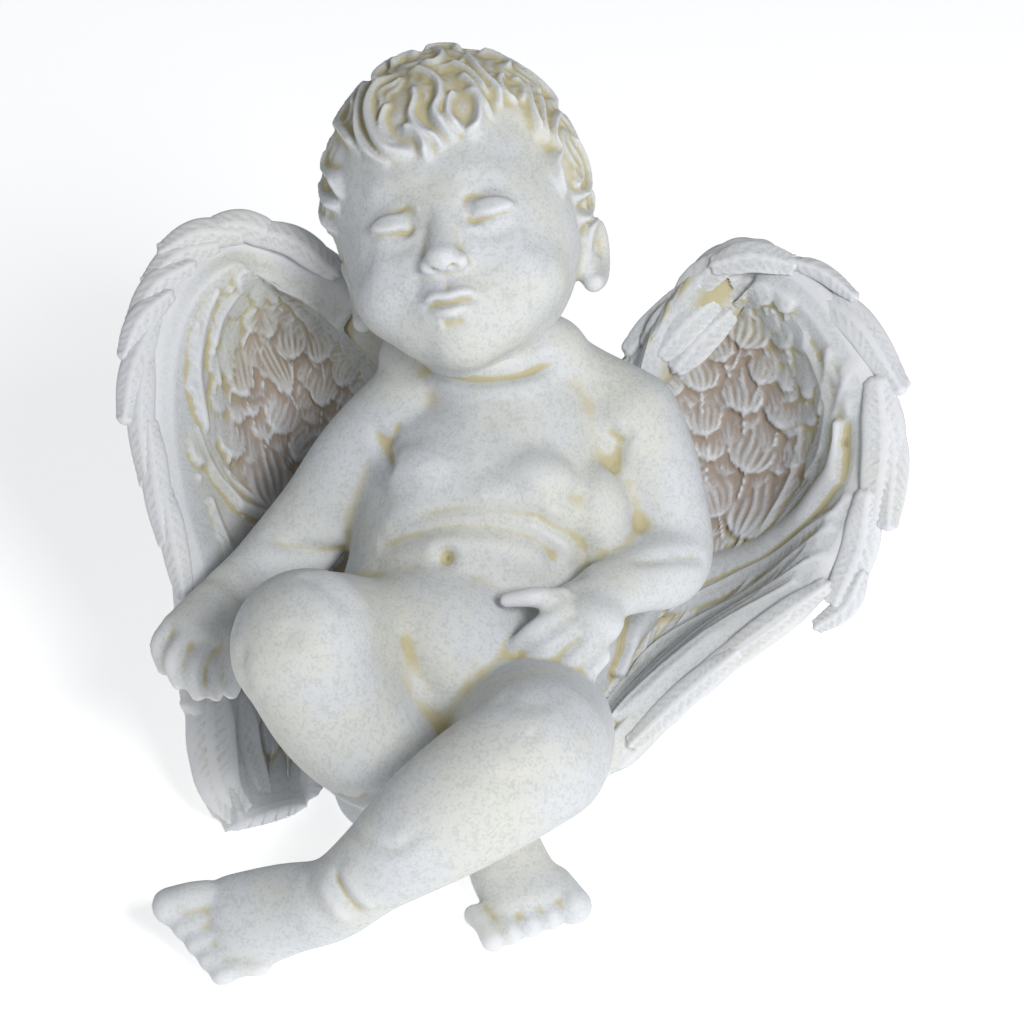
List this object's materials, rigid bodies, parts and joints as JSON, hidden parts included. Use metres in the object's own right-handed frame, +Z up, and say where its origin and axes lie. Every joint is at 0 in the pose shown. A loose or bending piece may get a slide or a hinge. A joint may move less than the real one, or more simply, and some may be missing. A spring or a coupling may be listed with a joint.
{
  "type": "garden putto statue",
  "caption": "Sleeping winged putto in cast stone, leaning back between its own cupped wings with its shins crossed.",
  "frame": {"origin": "middle of the footprint of the whole figure, on the ground", "axes": "+Z up, the figure faces -Y, and +X runs across the wings towards its left wing"},
  "size_m": [0.2024, 0.191, 0.1825],
  "materials": {
    "stone": "matt, washed with ochre in the hollows"
  },
  "bodies": {
    "root": {"putto": "stone"}
  },
  "joints": []
}
